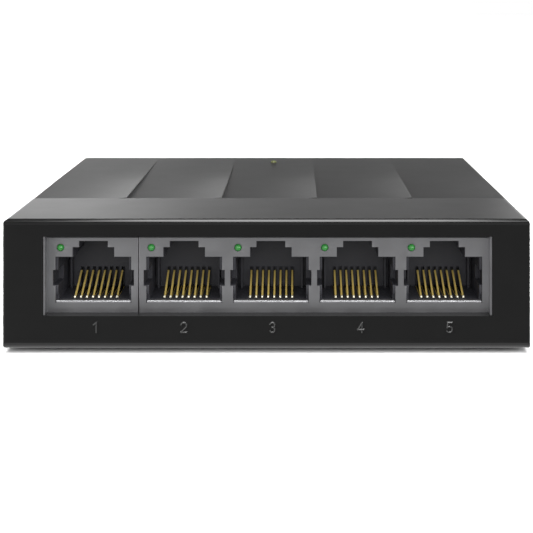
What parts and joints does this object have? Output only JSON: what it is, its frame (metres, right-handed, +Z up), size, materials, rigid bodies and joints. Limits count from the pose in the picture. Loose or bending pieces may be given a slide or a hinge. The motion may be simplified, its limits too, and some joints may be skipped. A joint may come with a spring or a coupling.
{
  "type": "desktop network switch",
  "caption": "Small rectangular black network switch with a row of modular ports in the front, a faceted roof, rubber feet and a barrel power inlet at the back.",
  "frame": {"origin": "on the ground, under the centre of the case", "axes": "+X to the right seen from the front, +Y to the back, +Z up; the ports face -Y"},
  "size_m": [0.09, 0.0721, 0.0234],
  "materials": {
    "case_plastic": "black moulded plastic, satin on the front and fine-grained on the roof",
    "foot_rubber": "matt black rubber",
    "screw_steel": "zinc-plated steel",
    "label_film": "blank light grey film",
    "board_laminate": "green solder mask on glass laminate",
    "shield_metal": "plain tin-plated sheet, softly reflecting",
    "housing_plastic": "dark moulded plastic",
    "contact_gold": "gold-plated spring wire",
    "green_lens": "green tinted resin dome",
    "tinned_metal": "tinned metal",
    "olive_lens": "clear resin with a yellow-green tint",
    "led_resin": "pale resin",
    "chip_resin": "black epoxy",
    "pad_silicone": "soft grey silicone",
    "sink_aluminium": "bare extruded aluminium",
    "ferrite": "dark grey ferrite",
    "can_aluminium": "drawn aluminium can",
    "fuse_resin": "green coated chip",
    "ceramic": "tan ceramic"
  },
  "bodies": {
    "switch": {"top_cover": "case_plastic", "bottom_cover": "case_plastic", "rubber_feet": "foot_rubber", "case_screws": "screw_steel", "blank_label": "label_film", "circuit_board": "board_laminate", "board_screws": "screw_steel", "single_jack_shield": "shield_metal", "single_jack_housing": "housing_plastic", "quad_jack_shield": "shield_metal", "quad_jack_housing": "housing_plastic", "single_jack_terminals": "contact_gold", "quad_jack_terminals": "contact_gold", "port_light_lenses": "green_lens", "port_light_leads": "tinned_metal", "power_jack_body": "housing_plastic", "power_jack_pin": "tinned_metal", "power_jack_terminals": "tinned_metal", "power_light_pipe": "olive_lens", "power_light": "led_resin", "switch_chip": "chip_resin", "thermal_pad": "pad_silicone", "heat_sink": "sink_aluminium", "network_transformers": "chip_resin", "crystal": "tinned_metal", "memory_chip": "chip_resin", "regulator_chip": "chip_resin", "power_inductor": "ferrite", "electrolytic_capacitors": "can_aluminium", "diode": "chip_resin", "fuse": "fuse_resin", "chip_resistors": "chip_resin", "chip_capacitors": "ceramic"},
    "port_1_contacts": {"port_1_contacts": "contact_gold"},
    "port_2_contacts": {"port_2_contacts": "contact_gold"},
    "port_3_contacts": {"port_3_contacts": "contact_gold"},
    "port_4_contacts": {"port_4_contacts": "contact_gold"},
    "port_5_contacts": {"port_5_contacts": "contact_gold"},
    "power_jack_spring": {"power_jack_spring": "contact_gold"}
  },
  "joints": [
    {"name": "port_1_contacts_press", "type": "hinge", "parent": "switch", "child": "port_1_contacts", "pos_m": [-0.0299, -0.0312, 0.00835], "axis": [-1, 0, 0], "range_deg": [0, 12]},
    {"name": "port_2_contacts_press", "type": "hinge", "parent": "switch", "child": "port_2_contacts", "pos_m": [-0.01425, -0.0312, 0.00835], "axis": [-1, 0, 0], "range_deg": [0, 12]},
    {"name": "port_3_contacts_press", "type": "hinge", "parent": "switch", "child": "port_3_contacts", "pos_m": [0.0007, -0.0312, 0.00835], "axis": [-1, 0, 0], "range_deg": [0, 12]},
    {"name": "port_4_contacts_press", "type": "hinge", "parent": "switch", "child": "port_4_contacts", "pos_m": [0.01565, -0.0312, 0.00835], "axis": [-1, 0, 0], "range_deg": [0, 12]},
    {"name": "port_5_contacts_press", "type": "hinge", "parent": "switch", "child": "port_5_contacts", "pos_m": [0.0306, -0.0312, 0.00835], "axis": [-1, 0, 0], "range_deg": [0, 12]},
    {"name": "power_jack_spring_press", "type": "hinge", "parent": "switch", "child": "power_jack_spring", "pos_m": [0.024, 0.0272, 0.00885], "axis": [-1, 0, 0], "range_deg": [0, 6]}
  ]
}
